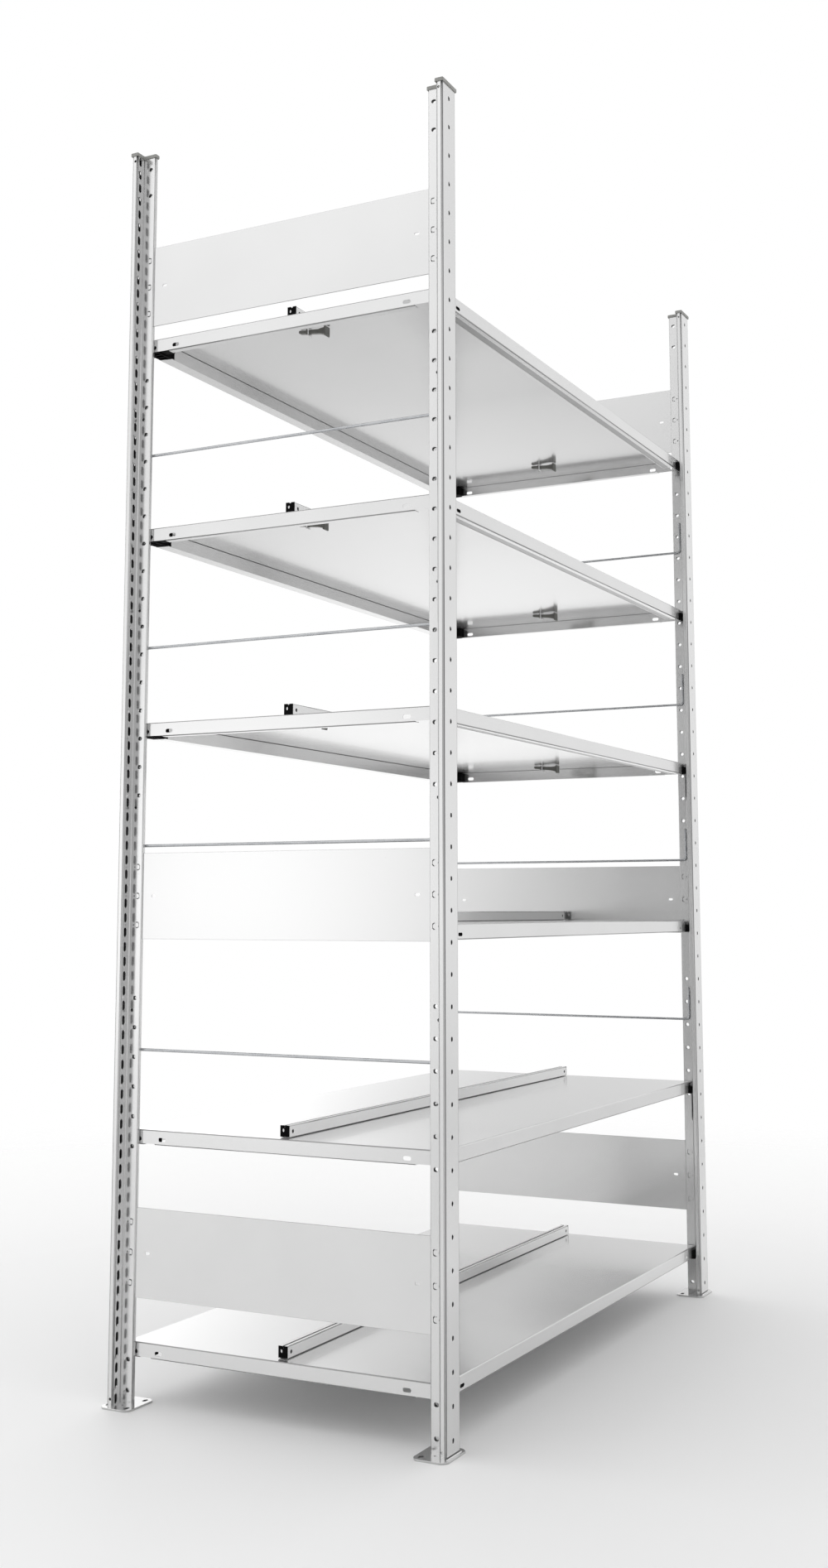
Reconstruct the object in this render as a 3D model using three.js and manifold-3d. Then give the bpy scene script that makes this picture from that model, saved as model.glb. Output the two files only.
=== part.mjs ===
// Office shelving unit: one free-standing bay of boltless steel shelving.
// Millimetres, +Z up, the origin on the floor at the middle of the bay.
// X runs along the shelves, and the front of the unit faces -Y.

import * as THREE from "three";
import { mergeGeometries, mergeVertices } from "three/addons/utils/BufferGeometryUtils.js";
import Module from "manifold-3d";

const wasm = await Module();
wasm.setup();

// Bay: between post axes, between the fronts of the posts, and up the posts
const bayLength = 1250;
const bayDepth = 633;
const postHeight = 2200;

// Shelf levels, counted from the top shelf down
const shelfCount = 6;
const shelfPitch = 350;
const lowestShelfTop = 103;
const bracedShelves = [3, 5];

// Clearance between seated pieces, and how far a cutter passes beyond a face
const seatGap = 0.3;
const cutOverrun = 2;

// Post: a roll-formed T with a hollow head and a stem that is open at its tip
const postWall = 1.5;
const headWidth = 50;
const headDepth = 12;
const headCornerRadius = 4;
const stemWidth = 8;
const postDepth = 37;
const cornerSegments = 2;

// Rows of holes in the post
const holePitch = 50;
const firstHole = 25;
const frontSlotWidth = 4;
const frontSlotHeight = 9;
const stemHoleSize = 8.5;
const stemHoleInset = 28;
const holeFreeReach = 130;
const hookSlotWidth = 7.5;
const hookSlotHeight = 16.5;
const hookSlotOffset = 15.9;
const hookSlotRise = 9.5;

// Foot plate
const footLength = 80;
const footDepth = 60;
const footThickness = 3;
const footToe = 6.5;
const footChamfer = 9;
const anchorSlotLength = 13;
const anchorSlotWidth = 9;
const anchorSlotEndMargin = 14;
const anchorSlotHeelMargin = 11.5;

// Post cap
const capReach = 2;
const capSkirt = 3.4;
const capCrown = 2.8;

// Shelf tray
const shelfStemGap = 1;
const shelfFaceGap = 7;
const shelfSheet = 1;
const shelfEdge = 25;
const foldWidth = 25;
const foldSetback = 39;
const innerWallSetback = 51;
const endFlangeWidth = 14;
const endFlangeSetback = 48;
const notchLength = 24;
const notchHeight = 22;

// Holes in the shelf's edges
const lockSlotLength = 16;
const lockSlotHeight = 6;
const lockSlotInset = 67;
const pinHoleLength = 8;
const pinHoleHeight = 5;
const pinHoleInset = 55;
const edgeHoleRise = 8.5;
const endSlotLength = 14;
const endSlotHeight = 7;
const endSlotInset = 66;
const endHoleDiameter = 8;
const endHoleInset = 33;
const endHoleRise = 9.5;

// Corner support: a block in the shelf's corner, a tongue and a hook in the post
const hookHeight = 10;
const hookDrop = 6;
const hookLipThickness = 2;
const braceDrop = 58;
const braceSheet = 1.5;
const braceTopMargin = 3;
const braceHookPitch = 50;
const gussetReach = 10.7;
const gussetDrop = 14;
const gussetSheet = 2;

// Divider rail along the middle of each shelf
const railEndSetback = 17;
const railWidth = 17;
const railHeight = 20;
const railSheet = 1.2;
const railSlotWidth = 3.5;
const railHoleDiameter = 6.5;
const railHoleInset = 11;
const railTabWidth = 12;
const railTabThickness = 2;
const railTabDrop = 15;
const railTabInsetLeft = 60;
const railTabInsetRight = 98;

// Side panel, with its ends inside the stems
const panelHeight = 148;
const panelSheet = 2;
const panelEndInset = 16;
const panelChamferLength = 22;
const panelChamferHeight = 8;
const panelSlotLength = 10;
const panelSlotHeight = 5;
const panelSlotInset = 60;
const topPanelDrop = 250;
const middlePanelHeight = 850;
const lowPanelHeight = 250;

// Side rod with upturned ends, hooked in the stems
const rodDiameter = 5;
const rodRise = 134;
const rodLegRise = 67;
const rodLegInset = 20.5;
const rodBendRadius = 7;
const rodTipReach = 1.2;
const rodSides = 6;
const rodBendSegments = 3;

// Sizes worked out from the ones above
const stemHalf = stemWidth / 2;
const shelfLength = bayLength - 2 * (stemHalf + shelfStemGap);
const shelfFaceInset = headDepth + shelfFaceGap;
const shelfDepth = bayDepth - 2 * shelfFaceInset;
const axisToShelfEnd = (bayLength - shelfLength) / 2;
const lipHalf = panelSheet / 2 + seatGap;
const roundHoleSides = 6;

const shelfTop = (number) => lowestShelfTop + (shelfCount - number) * shelfPitch;
const shelfUnderside = (number) => shelfTop(number) - shelfEdge;
const numbers = Array.from({ length: shelfCount }, (_, index) => index + 1);
const roddedShelves = numbers.slice(1, -1);
const isBraced = (number) => bracedShelves.includes(number);
const panelLevels = {
  top: postHeight - topPanelDrop,
  middle: middlePanelHeight,
  low: lowPanelHeight,
};

// Finishes
function finish(color, roughness, metalness) {
  return new THREE.MeshStandardMaterial({ color, roughness, metalness });
}
const paint = finish(0xe4e5e6, 0.45, 0.0);
const railPaint = finish(0xeeefef, 0.4, 0.0);
const capPlastic = finish(0x9c9d98, 0.6, 0.0);
const blackPlastic = finish(0x1b1b1d, 0.55, 0.0);
const platedSteel = finish(0x8f9194, 0.35, 0.8);

// Geometry to a solid and back, for cutting and joining
function toSolid(geometry) {
  const bare = geometry.clone();
  bare.deleteAttribute("normal");
  bare.deleteAttribute("uv");
  const merged = mergeVertices(bare);
  return new wasm.Manifold(
    new wasm.Mesh({
      numProp: 3,
      vertProperties: new Float32Array(merged.attributes.position.array),
      triVerts: new Uint32Array(merged.index.array),
    }),
  );
}

function toGeometry(solid) {
  const mesh = solid.getMesh();
  const geometry = new THREE.BufferGeometry();
  geometry.setAttribute("position", new THREE.BufferAttribute(mesh.vertProperties, 3));
  geometry.setIndex(new THREE.BufferAttribute(mesh.triVerts, 1));
  geometry.computeVertexNormals();
  return geometry;
}

function joined(geometries) {
  return geometries.map(toSolid).reduce((whole, solid) => whole.add(solid));
}

function cut(solid, cutters) {
  if (cutters.length === 0) return solid;
  return cutters.map(toSolid).reduce((left, cutter) => left.subtract(cutter), solid);
}

// A block between two corners along each axis, in any order
function block([x0, x1], [y0, y1], [z0, z1]) {
  const geometry = new THREE.BoxGeometry(Math.abs(x1 - x0), Math.abs(y1 - y0), Math.abs(z1 - z0));
  return geometry.translate((x0 + x1) / 2, (y0 + y1) / 2, (z0 + z1) / 2);
}

// A span of a length around its middle
const around = (middle, length) => [middle - length / 2, middle + length / 2];

// A bar with a round section along X or Y, for drilling
function drill(diameter, length, axis) {
  const bar = new THREE.CylinderGeometry(diameter / 2, diameter / 2, length, roundHoleSides);
  return axis === "x" ? bar.rotateZ(Math.PI / 2) : bar;
}

function extruded(shape, height, segments) {
  const options = { depth: height, bevelEnabled: false, curveSegments: segments, steps: 1 };
  return new THREE.ExtrudeGeometry(shape, options);
}

// A closed outline from corner points
function outline(points) {
  return new THREE.Shape(points.map(([x, y]) => new THREE.Vector2(x, y)));
}

// Post section: x across the head, y inwards from the head's front
function postSection() {
  const half = headWidth / 2;
  const inner = postWall;
  const bend = headCornerRadius;
  const innerBend = Math.max(bend - postWall, postWall / 2);
  const shape = new THREE.Shape();
  shape.moveTo(lipHalf, postDepth);
  shape.lineTo(lipHalf, postDepth - inner);
  shape.lineTo(stemHalf - inner, postDepth - inner);
  shape.lineTo(stemHalf - inner, headDepth - inner);
  shape.lineTo(half - inner, headDepth - inner);
  shape.absarc(half - inner - innerBend, inner + innerBend, innerBend, 0, -Math.PI / 2, true);
  shape.absarc(-half + inner + innerBend, inner + innerBend, innerBend, -Math.PI / 2, -Math.PI, true);
  shape.lineTo(-half + inner, headDepth - inner);
  shape.lineTo(-stemHalf + inner, headDepth - inner);
  shape.lineTo(-stemHalf + inner, postDepth - inner);
  shape.lineTo(-lipHalf, postDepth - inner);
  shape.lineTo(-lipHalf, postDepth);
  shape.lineTo(-stemHalf, postDepth);
  shape.lineTo(-stemHalf, headDepth);
  shape.lineTo(-half, headDepth);
  shape.absarc(-half + bend, bend, bend, -Math.PI, -Math.PI / 2, false);
  shape.absarc(half - bend, bend, bend, -Math.PI / 2, 0, false);
  shape.lineTo(half, headDepth);
  shape.lineTo(stemHalf, headDepth);
  shape.lineTo(stemHalf, postDepth);
  shape.closePath();
  return shape;
}

function footPlate() {
  const half = footLength / 2;
  const heel = footDepth - footToe;
  const plate = outline([
    [-half + footChamfer, -footToe],
    [half - footChamfer, -footToe],
    [half, -footToe + footChamfer],
    [half, heel - footChamfer],
    [half - footChamfer, heel],
    [-half + footChamfer, heel],
    [-half, heel - footChamfer],
    [-half, -footToe + footChamfer],
  ]);
  const slots = [-1, 1].map((side) =>
    block(
      around(side * (half - anchorSlotEndMargin), anchorSlotLength),
      around(heel - anchorSlotHeelMargin, anchorSlotWidth),
      [-cutOverrun, footThickness + cutOverrun],
    ),
  );
  return toGeometry(cut(toSolid(extruded(plate, footThickness, 1)), slots));
}

// Heights of the rows of holes that both kinds of holes share
function holeHeights() {
  const count = Math.floor((postHeight - firstHole) / holePitch) + 1;
  return Array.from({ length: count }, (_, index) => firstHole + index * holePitch);
}

// Stem holes are left out around the side panels
function stemHoleHeights() {
  const centres = Object.values(panelLevels);
  return holeHeights().filter((z) => centres.every((centre) => Math.abs(z - centre) > holeFreeReach));
}

function frontSlots() {
  return holeHeights().map((z) =>
    block(
      around(0, frontSlotWidth),
      [-cutOverrun, postWall + cutOverrun],
      around(z, frontSlotHeight),
    ),
  );
}

function stemHoles() {
  return stemHoleHeights().map((z) =>
    block(
      around(0, stemWidth + cutOverrun),
      around(stemHoleInset, stemHoleSize),
      around(z, stemHoleSize),
    ),
  );
}

// Heights of the hook slots that one shelf's supports use
function hookSlotHeights(number) {
  const height = shelfUnderside(number) + hookSlotRise;
  return isBraced(number) ? [height, height - braceHookPitch] : [height];
}

function hookSlots(side) {
  return numbers.flatMap(hookSlotHeights).map((z) =>
    block(
      around(side * hookSlotOffset, hookSlotWidth),
      [headDepth - postWall - cutOverrun, headDepth + cutOverrun],
      around(z, hookSlotHeight),
    ),
  );
}

// Height of a side rod's level run above its shelf, and of its tips
const rodHeight = (number) => shelfTop(number) + rodRise;
const rodTipHeight = (number) => rodHeight(number) + rodLegRise;

function rodTipHoles(side) {
  const across = (rodDiameter + 2 * seatGap) / Math.cos(Math.PI / roundHoleSides);
  return roddedShelves.map((number) =>
    drill(across, postWall + cutOverrun, "x").translate(
      side * (stemHalf - postWall / 2),
      rodLegInset,
      rodTipHeight(number),
    ),
  );
}

// side is +1 where the shelves lie on the post's own +x side, and -1 where they don't
function postGeometry(side) {
  const column = extruded(postSection(), postHeight, cornerSegments);
  const whole = joined([column, footPlate()]);
  const holes = [...frontSlots(), ...stemHoles(), ...hookSlots(side), ...rodTipHoles(side)];
  return toGeometry(cut(whole, [mergeGeometries(holes)]));
}

// Solid T outline of the post, grown outwards all round
function postOutline(grow) {
  const half = headWidth / 2 + grow;
  const stem = stemHalf + grow;
  return outline([
    [-half, -grow],
    [half, -grow],
    [half, headDepth + grow],
    [stem, headDepth + grow],
    [stem, postDepth + grow],
    [-stem, postDepth + grow],
    [-stem, headDepth + grow],
    [-half, headDepth + grow],
  ]);
}

function capGeometry() {
  const bottom = postHeight - capSkirt;
  const shell = extruded(postOutline(capReach), capSkirt + capCrown, 1).translate(0, 0, bottom);
  const room = extruded(postOutline(seatGap), cutOverrun + capSkirt + seatGap, 1);
  return toGeometry(cut(toSolid(shell), [room.translate(0, 0, bottom - cutOverrun)]));
}

// Shelf corner frame: u inwards from the end, v inwards from the long face, w up from the underside
const shelfX = (sideX, u) => sideX * (shelfLength / 2 - u);
const shelfY = (sideY, v) => sideY * (shelfDepth / 2 - v);

function cornerBlock(sideX, sideY, [u0, u1], [v0, v1], zSpan) {
  return block(
    [shelfX(sideX, u0), shelfX(sideX, u1)],
    [shelfY(sideY, v0), shelfY(sideY, v1)],
    zSpan,
  );
}

// The box fold under one long edge
function longFold(sideY) {
  const flangeHalf = shelfLength / 2 - foldSetback;
  const wallHalf = shelfLength / 2 - innerWallSetback;
  const flange = block(
    [-flangeHalf, flangeHalf],
    [shelfY(sideY, 0), shelfY(sideY, foldWidth)],
    [0, shelfSheet],
  );
  const wall = block(
    [-wallHalf, wallHalf],
    [shelfY(sideY, foldWidth - shelfSheet), shelfY(sideY, foldWidth)],
    [0, shelfEdge - shelfSheet - seatGap],
  );
  return [flange, wall];
}

function endFlange(sideX) {
  const half = shelfDepth / 2 - endFlangeSetback;
  return block([shelfX(sideX, 0), shelfX(sideX, endFlangeWidth)], [-half, half], [0, shelfSheet]);
}

// Slots and pin holes in the long faces; a braced shelf has none
function longFaceHoles(sideY) {
  const lockSide = -sideY;
  const depth = [-cutOverrun, shelfSheet + cutOverrun];
  return [
    cornerBlock(-lockSide, sideY, around(lockSlotInset, lockSlotLength), depth,
      around(edgeHoleRise, lockSlotHeight)),
    cornerBlock(lockSide, sideY, around(pinHoleInset, pinHoleLength), depth,
      around(edgeHoleRise, pinHoleHeight)),
  ];
}

function endHoles(sideX, sideY) {
  const slot = cornerBlock(sideX, sideY, [-cutOverrun, shelfSheet + cutOverrun],
    around(endSlotInset, endSlotLength), around(endHoleRise, endSlotHeight));
  const hole = drill(endHoleDiameter, 2 * (shelfSheet + cutOverrun), "x");
  hole.translate(shelfX(sideX, 0), shelfY(sideY, endHoleInset), endHoleRise);
  return [slot, hole];
}

// Room in a long face for the tongue of a support
function tongueNotch(sideX, sideY) {
  return cornerBlock(sideX, sideY, [shelfSheet, notchLength], [-cutOverrun, shelfSheet],
    [-cutOverrun, notchHeight]);
}

const railHalf = shelfLength / 2 - railEndSetback;
const tabPlaces = [railTabInsetLeft - railHalf, railHalf - railTabInsetRight];

function tabSlots() {
  return tabPlaces.map((x) =>
    block(
      around(x, railTabWidth + 2 * seatGap),
      around(0, railTabThickness + 2 * seatGap),
      [shelfEdge - shelfSheet - cutOverrun, shelfEdge + cutOverrun],
    ),
  );
}

function shelfGeometry(number) {
  const shell = block(around(0, shelfLength), around(0, shelfDepth), [0, shelfEdge]);
  const room = block(
    around(0, shelfLength - 2 * shelfSheet),
    around(0, shelfDepth - 2 * shelfSheet),
    [-cutOverrun, shelfEdge - shelfSheet],
  );
  const tray = toGeometry(cut(toSolid(shell), [room]));
  const flanges = [...longFold(-1), ...longFold(1), endFlange(-1), endFlange(1)];
  const corners = [[-1, -1], [1, -1], [-1, 1], [1, 1]];
  const holes = corners.flatMap(([sideX, sideY]) => [
    tongueNotch(sideX, sideY),
    ...endHoles(sideX, sideY),
  ]);
  if (!isBraced(number)) holes.push(...longFaceHoles(-1), ...longFaceHoles(1));
  return toGeometry(cut(joined([tray, ...flanges]), [...holes, ...tabSlots()]));
}

// Divider rail: a C-channel with its slot up, standing on the shelf
function railGeometry() {
  const half = railWidth / 2;
  const slotHalf = railSlotWidth / 2;
  const inner = half - railSheet;
  const top = railHeight - railSheet;
  const section = outline([
    [-half, 0], [half, 0], [half, railHeight], [slotHalf, railHeight], [slotHalf, top],
    [inner, top], [inner, railSheet], [-inner, railSheet], [-inner, top], [-slotHalf, top],
    [-slotHalf, railHeight], [-half, railHeight],
  ]);
  const channel = extruded(section, 2 * railHalf, 1)
    .translate(0, 0, -railHalf)
    .rotateX(Math.PI / 2)
    .rotateZ(Math.PI / 2);
  const tabs = tabPlaces.map((x) =>
    block(around(x, railTabWidth), around(0, railTabThickness), [-railTabDrop, railSheet]),
  );
  const holes = [-1, 1].map((side) =>
    drill(railHoleDiameter, railWidth + cutOverrun, "y").translate(
      side * (railHalf - railHoleInset), 0, railHeight / 2,
    ),
  );
  return toGeometry(cut(joined([channel, ...tabs]), holes));
}

// Hook of a support: a peg through the post's slot with a lip behind its lower edge
function hook(sideX, sideY, slotMiddle) {
  const across = around(hookSlotOffset - axisToShelfEnd, hookSlotWidth - 2 * seatGap);
  const seat = slotMiddle - hookSlotHeight / 2 + seatGap;
  const headBack = -shelfFaceGap;
  const root = headBack + seatGap + braceSheet / 2;
  const behindWall = headBack - postWall - seatGap;
  const peg = cornerBlock(sideX, sideY, across, [behindWall - hookLipThickness, root],
    [seat, seat + hookHeight]);
  const lip = cornerBlock(sideX, sideY, across, [behindWall - hookLipThickness, behindWall],
    [seat - hookDrop, seat + hookHeight]);
  return [peg, lip];
}

// Brace of a support on a middle shelf: a leg down the post and a gusset under the shelf
function brace(sideX, sideY) {
  const legFace = -shelfFaceGap + seatGap;
  const headEdge = headWidth / 2 - axisToShelfEnd;
  const leg = cornerBlock(sideX, sideY, [shelfSheet + seatGap, headEdge],
    [legFace, legFace + braceSheet], [-braceDrop, shelfEdge - braceTopMargin]);
  const gusset = outline([
    [legFace, gussetSheet], [legFace + gussetReach, gussetSheet], [legFace + gussetReach, 0],
    [legFace + braceSheet, -gussetDrop],
    [legFace, -gussetDrop],
  ]);
  const u = shelfSheet + seatGap;
  const plate = extruded(gusset, gussetSheet, 1).rotateX(Math.PI / 2).rotateZ(Math.PI / 2);
  plate.scale(sideX < 0 ? 1 : -1, sideY < 0 ? 1 : -1, 1);
  if (sideX * sideY < 0) turnFaces(plate);
  plate.translate(shelfX(sideX, u), shelfY(sideY, 0), 0);
  return [leg, plate, ...hook(sideX, sideY, hookSlotRise - braceHookPitch)];
}

// Turns the faces of a mirrored geometry outwards again
function turnFaces(geometry) {
  const position = geometry.attributes.position;
  const corner = new THREE.Vector3();
  const other = new THREE.Vector3();
  for (let first = 0; first < position.count; first += 3) {
    corner.fromBufferAttribute(position, first + 1);
    other.fromBufferAttribute(position, first + 2);
    position.setXYZ(first + 1, other.x, other.y, other.z);
    position.setXYZ(first + 2, corner.x, corner.y, corner.z);
  }
}

function supportGeometry(sideX, sideY, braced) {
  const inside = shelfSheet + seatGap;
  const body = cornerBlock(sideX, sideY, [inside, foldSetback - seatGap], [inside, foldWidth],
    [0, shelfEdge - inside]);
  const tongue = cornerBlock(sideX, sideY, [inside, notchLength - seatGap],
    [seatGap - shelfFaceGap, inside], [0, notchHeight - seatGap]);
  const parts = [body, tongue, ...hook(sideX, sideY, hookSlotRise)];
  if (braced) parts.push(...brace(sideX, sideY));
  return toGeometry(joined(parts));
}

// Side panel in the plane of the posts' axes
function panelGeometry() {
  const half = bayDepth / 2 - panelEndInset;
  const shoulder = half - panelChamferLength;
  const edge = panelHeight / 2;
  const end = edge - panelChamferHeight;
  const sheet = outline([
    [-shoulder, -edge], [shoulder, -edge], [half, -end], [half, end],
    [shoulder, edge], [-shoulder, edge], [-half, end], [-half, -end],
  ]);
  const plate = extruded(sheet, panelSheet, 1)
    .translate(0, 0, -panelSheet / 2)
    .rotateX(Math.PI / 2)
    .rotateZ(Math.PI / 2);
  const slots = [-1, 1].map((side) =>
    block(
      around(0, panelSheet + cutOverrun),
      around(side * (bayDepth / 2 - panelSlotInset), panelSlotLength),
      around(0, panelSlotHeight),
    ),
  );
  return toGeometry(cut(toSolid(plate), slots));
}

// A round bar along a line of points, with its section mitred at each point
function bar(points, diameter, sides) {
  const ring = Array.from({ length: sides }, (_, index) => (index / sides) * 2 * Math.PI);
  const positions = [];
  const indices = [];
  let forward = points[1].clone().sub(points[0]).normalize();
  let across = new THREE.Vector3(0, 0, 1).cross(forward);
  if (across.lengthSq() < Number.EPSILON) across = new THREE.Vector3(0, 1, 0);
  across.normalize();
  points.forEach((point, index) => {
    const last = index === points.length - 1;
    const next = last ? forward : points[index + 1].clone().sub(point).normalize();
    const mitre = forward.clone().add(next).normalize();
    const up = forward.clone().cross(across);
    ring.forEach((angle) => {
      const offset = across.clone().multiplyScalar(Math.cos(angle) * diameter / 2)
        .addScaledVector(up, Math.sin(angle) * diameter / 2);
      offset.addScaledVector(forward, -offset.dot(mitre) / forward.dot(mitre));
      positions.push(...offset.add(point).toArray());
    });
    const turn = new THREE.Quaternion().setFromUnitVectors(forward, next);
    across.applyQuaternion(turn);
    forward = next;
  });
  for (let row = 0; row < points.length - 1; row += 1) {
    for (let side = 0; side < sides; side += 1) {
      const a = row * sides + side;
      const b = row * sides + (side + 1) % sides;
      indices.push(a, b, b + sides, a, b + sides, a + sides);
    }
  }
  const lastRing = (points.length - 1) * sides;
  for (let side = 1; side < sides - 1; side += 1) {
    indices.push(0, side + 1, side, lastRing, lastRing + side, lastRing + side + 1);
  }
  const geometry = new THREE.BufferGeometry();
  geometry.setAttribute("position", new THREE.Float32BufferAttribute(positions, 3));
  geometry.setIndex(indices);
  geometry.computeVertexNormals();
  return geometry;
}

// Side rod: tip, leg, bend, level run, bend, leg, tip; towards is the side of its post's axis
function rodGeometry(towards) {
  const legY = bayDepth / 2 - rodLegInset;
  const tipX = stemHalf + seatGap + rodDiameter / 2 - (stemHalf - postWall) + rodTipReach;
  const half = [];
  half.push(new THREE.Vector3(towards * tipX, -legY, rodLegRise));
  half.push(new THREE.Vector3(0, -legY, rodLegRise));
  for (let step = 0; step <= rodBendSegments; step += 1) {
    const angle = (step / rodBendSegments) * Math.PI / 2;
    half.push(new THREE.Vector3(
      0,
      -legY + rodBendRadius * (1 - Math.cos(angle)),
      rodBendRadius * (1 - Math.sin(angle)),
    ));
  }
  const mirrored = half.map((point) => new THREE.Vector3(point.x, -point.y, point.z)).reverse();
  return bar([...half, ...mirrored], rodDiameter, rodSides);
}

// Assembly
const unit = new THREE.Group();
unit.name = "office_shelving_unit";

function place(name, geometry, material, x, y, z, turn = 0) {
  const mesh = new THREE.Mesh(geometry, material);
  mesh.name = name;
  mesh.position.set(x, y, z);
  mesh.rotation.z = turn;
  unit.add(mesh);
}

const ends = [["left", -1], ["right", 1]];
const faces = [["front", -1], ["back", 1]];
const postX = bayLength / 2;
const postY = bayDepth / 2;

const postKinds = { "1": postGeometry(1), "-1": postGeometry(-1) };
const cap = capGeometry();
for (const [face, sideY] of faces) {
  for (const [end, sideX] of ends) {
    const turn = sideY > 0 ? Math.PI : 0;
    const inwards = sideX * sideY;
    place(`post_${face}_${end}`, postKinds[inwards], paint, sideX * postX, sideY * postY, 0, turn);
    place(`cap_${face}_${end}`, cap, capPlastic, sideX * postX, sideY * postY, 0, turn);
  }
}

const rail = railGeometry();
for (const number of numbers) {
  const bottom = shelfUnderside(number);
  place(`shelf_${number}`, shelfGeometry(number), paint, 0, 0, bottom);
  place(`divider_rail_${number}`, rail, railPaint, 0, 0, shelfTop(number) + seatGap);
  for (const [face, sideY] of faces) {
    for (const [end, sideX] of ends) {
      const support = supportGeometry(sideX, sideY, isBraced(number));
      place(`support_${number}_${face}_${end}`, support, blackPlastic, 0, 0, bottom);
    }
  }
}

const panel = panelGeometry();
const rodX = postX - stemHalf - seatGap - rodDiameter / 2;
for (const [end, sideX] of ends) {
  for (const [level, height] of Object.entries(panelLevels)) {
    place(`side_panel_${end}_${level}`, panel, paint, sideX * postX, 0, height);
  }
  for (const number of roddedShelves) {
    const rod = rodGeometry(sideX);
    place(`side_rod_${end}_${number}`, rod, platedSteel, sideX * rodX, 0, rodHeight(number));
  }
}

export default unit;
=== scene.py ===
"""Looks for the office shelving unit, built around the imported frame.

Lengths in this script are millimetres until a piece is finished, which puts it in metres.
X runs along the shelves, -Y is the front and +Z is up, with the origin on the floor.
"""

import math

import bmesh
import bpy
from mathutils import Matrix, Vector


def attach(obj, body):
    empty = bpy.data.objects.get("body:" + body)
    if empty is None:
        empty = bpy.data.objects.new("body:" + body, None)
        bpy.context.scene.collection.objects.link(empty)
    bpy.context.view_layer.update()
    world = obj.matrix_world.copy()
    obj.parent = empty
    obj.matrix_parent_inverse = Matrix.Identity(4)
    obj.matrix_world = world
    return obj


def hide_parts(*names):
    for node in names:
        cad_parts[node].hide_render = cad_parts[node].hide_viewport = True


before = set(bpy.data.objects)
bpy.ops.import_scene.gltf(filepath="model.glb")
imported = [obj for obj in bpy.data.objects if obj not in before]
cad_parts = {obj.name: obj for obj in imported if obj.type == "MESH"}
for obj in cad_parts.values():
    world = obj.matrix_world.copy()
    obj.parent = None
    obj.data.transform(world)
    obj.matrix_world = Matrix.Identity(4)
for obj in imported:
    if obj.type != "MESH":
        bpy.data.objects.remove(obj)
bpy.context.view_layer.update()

MM = 0.001

# The bay: places of the posts' fronts, the panels' middles and the shelves' tops
POST_X = 625
POST_Y = 316.5
POST_TOP = 2200
SHELVES = range(1, 7)
BRACED = (3, 5)
ENDS = (("left", -1), ("right", 1))
FACES = (("front", -1), ("back", 1))
PANEL_HEIGHTS = {"top": 1950, "middle": 850, "low": 250}
SHELF_PITCH = 350
LOWEST_TOP = 103

# A shelf's outside: half its length, half its depth and the height of its edges
SHELF_HALF = 620
SHELF_REACH = 297.5
SHELF_EDGE = 25

# A side rod: its straight part over the shelf's top, the rise of its ends to their tips, and how
# far the tips are in from the posts' fronts
ROD_OVER_SHELF = 134
ROD_RISE = 67
ROD_TIP_IN = 20.5

# Two corners of a mesh closer than this are the same one, and a face whose normal leans more
# than FLAT allows from every axis belongs to a bend
SAME = 0.01
FLAT = 0.9999
HOLE_SIDES = 12

# Places in a piece's list of finishes, after its main one. The third one always holds painted shade,
# and on most pieces the second one does too.
SECOND_FINISH = 1
HOLLOW_SHADE_FINISH = 2


def shelf_top(number):
    return LOWEST_TOP + (SHELVES[-1] - number) * SHELF_PITCH


def bottom_of(number):
    return shelf_top(number) - SHELF_EDGE


def body_of(number):
    return f"lift_shelf_{number}"


# Shader maths and materials


class Shade:
    """A value on a surface; sums and products of shades add their Math nodes."""

    def __init__(self, tree, socket):
        self.tree = tree
        self.socket = socket

    def maths(self, operation, *values):
        node = self.tree.nodes.new("ShaderNodeMath")
        node.operation = operation
        for place, value in zip(node.inputs, values):
            if isinstance(value, Shade):
                self.tree.links.new(value.socket, place)
            else:
                place.default_value = value
        return Shade(self.tree, node.outputs[0])

    def __add__(self, other):
        return self.maths("ADD", self, other)

    __radd__ = __add__

    def __sub__(self, other):
        return self.maths("SUBTRACT", self, other)

    def __rsub__(self, other):
        return self.maths("SUBTRACT", other, self)

    def __mul__(self, other):
        return self.maths("MULTIPLY", self, other)

    __rmul__ = __mul__

    def at_least(self, low):
        return self.maths("MAXIMUM", self, low)

    def clamped(self):
        return self.maths("MINIMUM", self.at_least(0), 1)

    def between(self, low, high):
        """0 below low, 1 above high and a ramp between them."""
        return ((self - low) * (1 / (high - low))).clamped()


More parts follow.
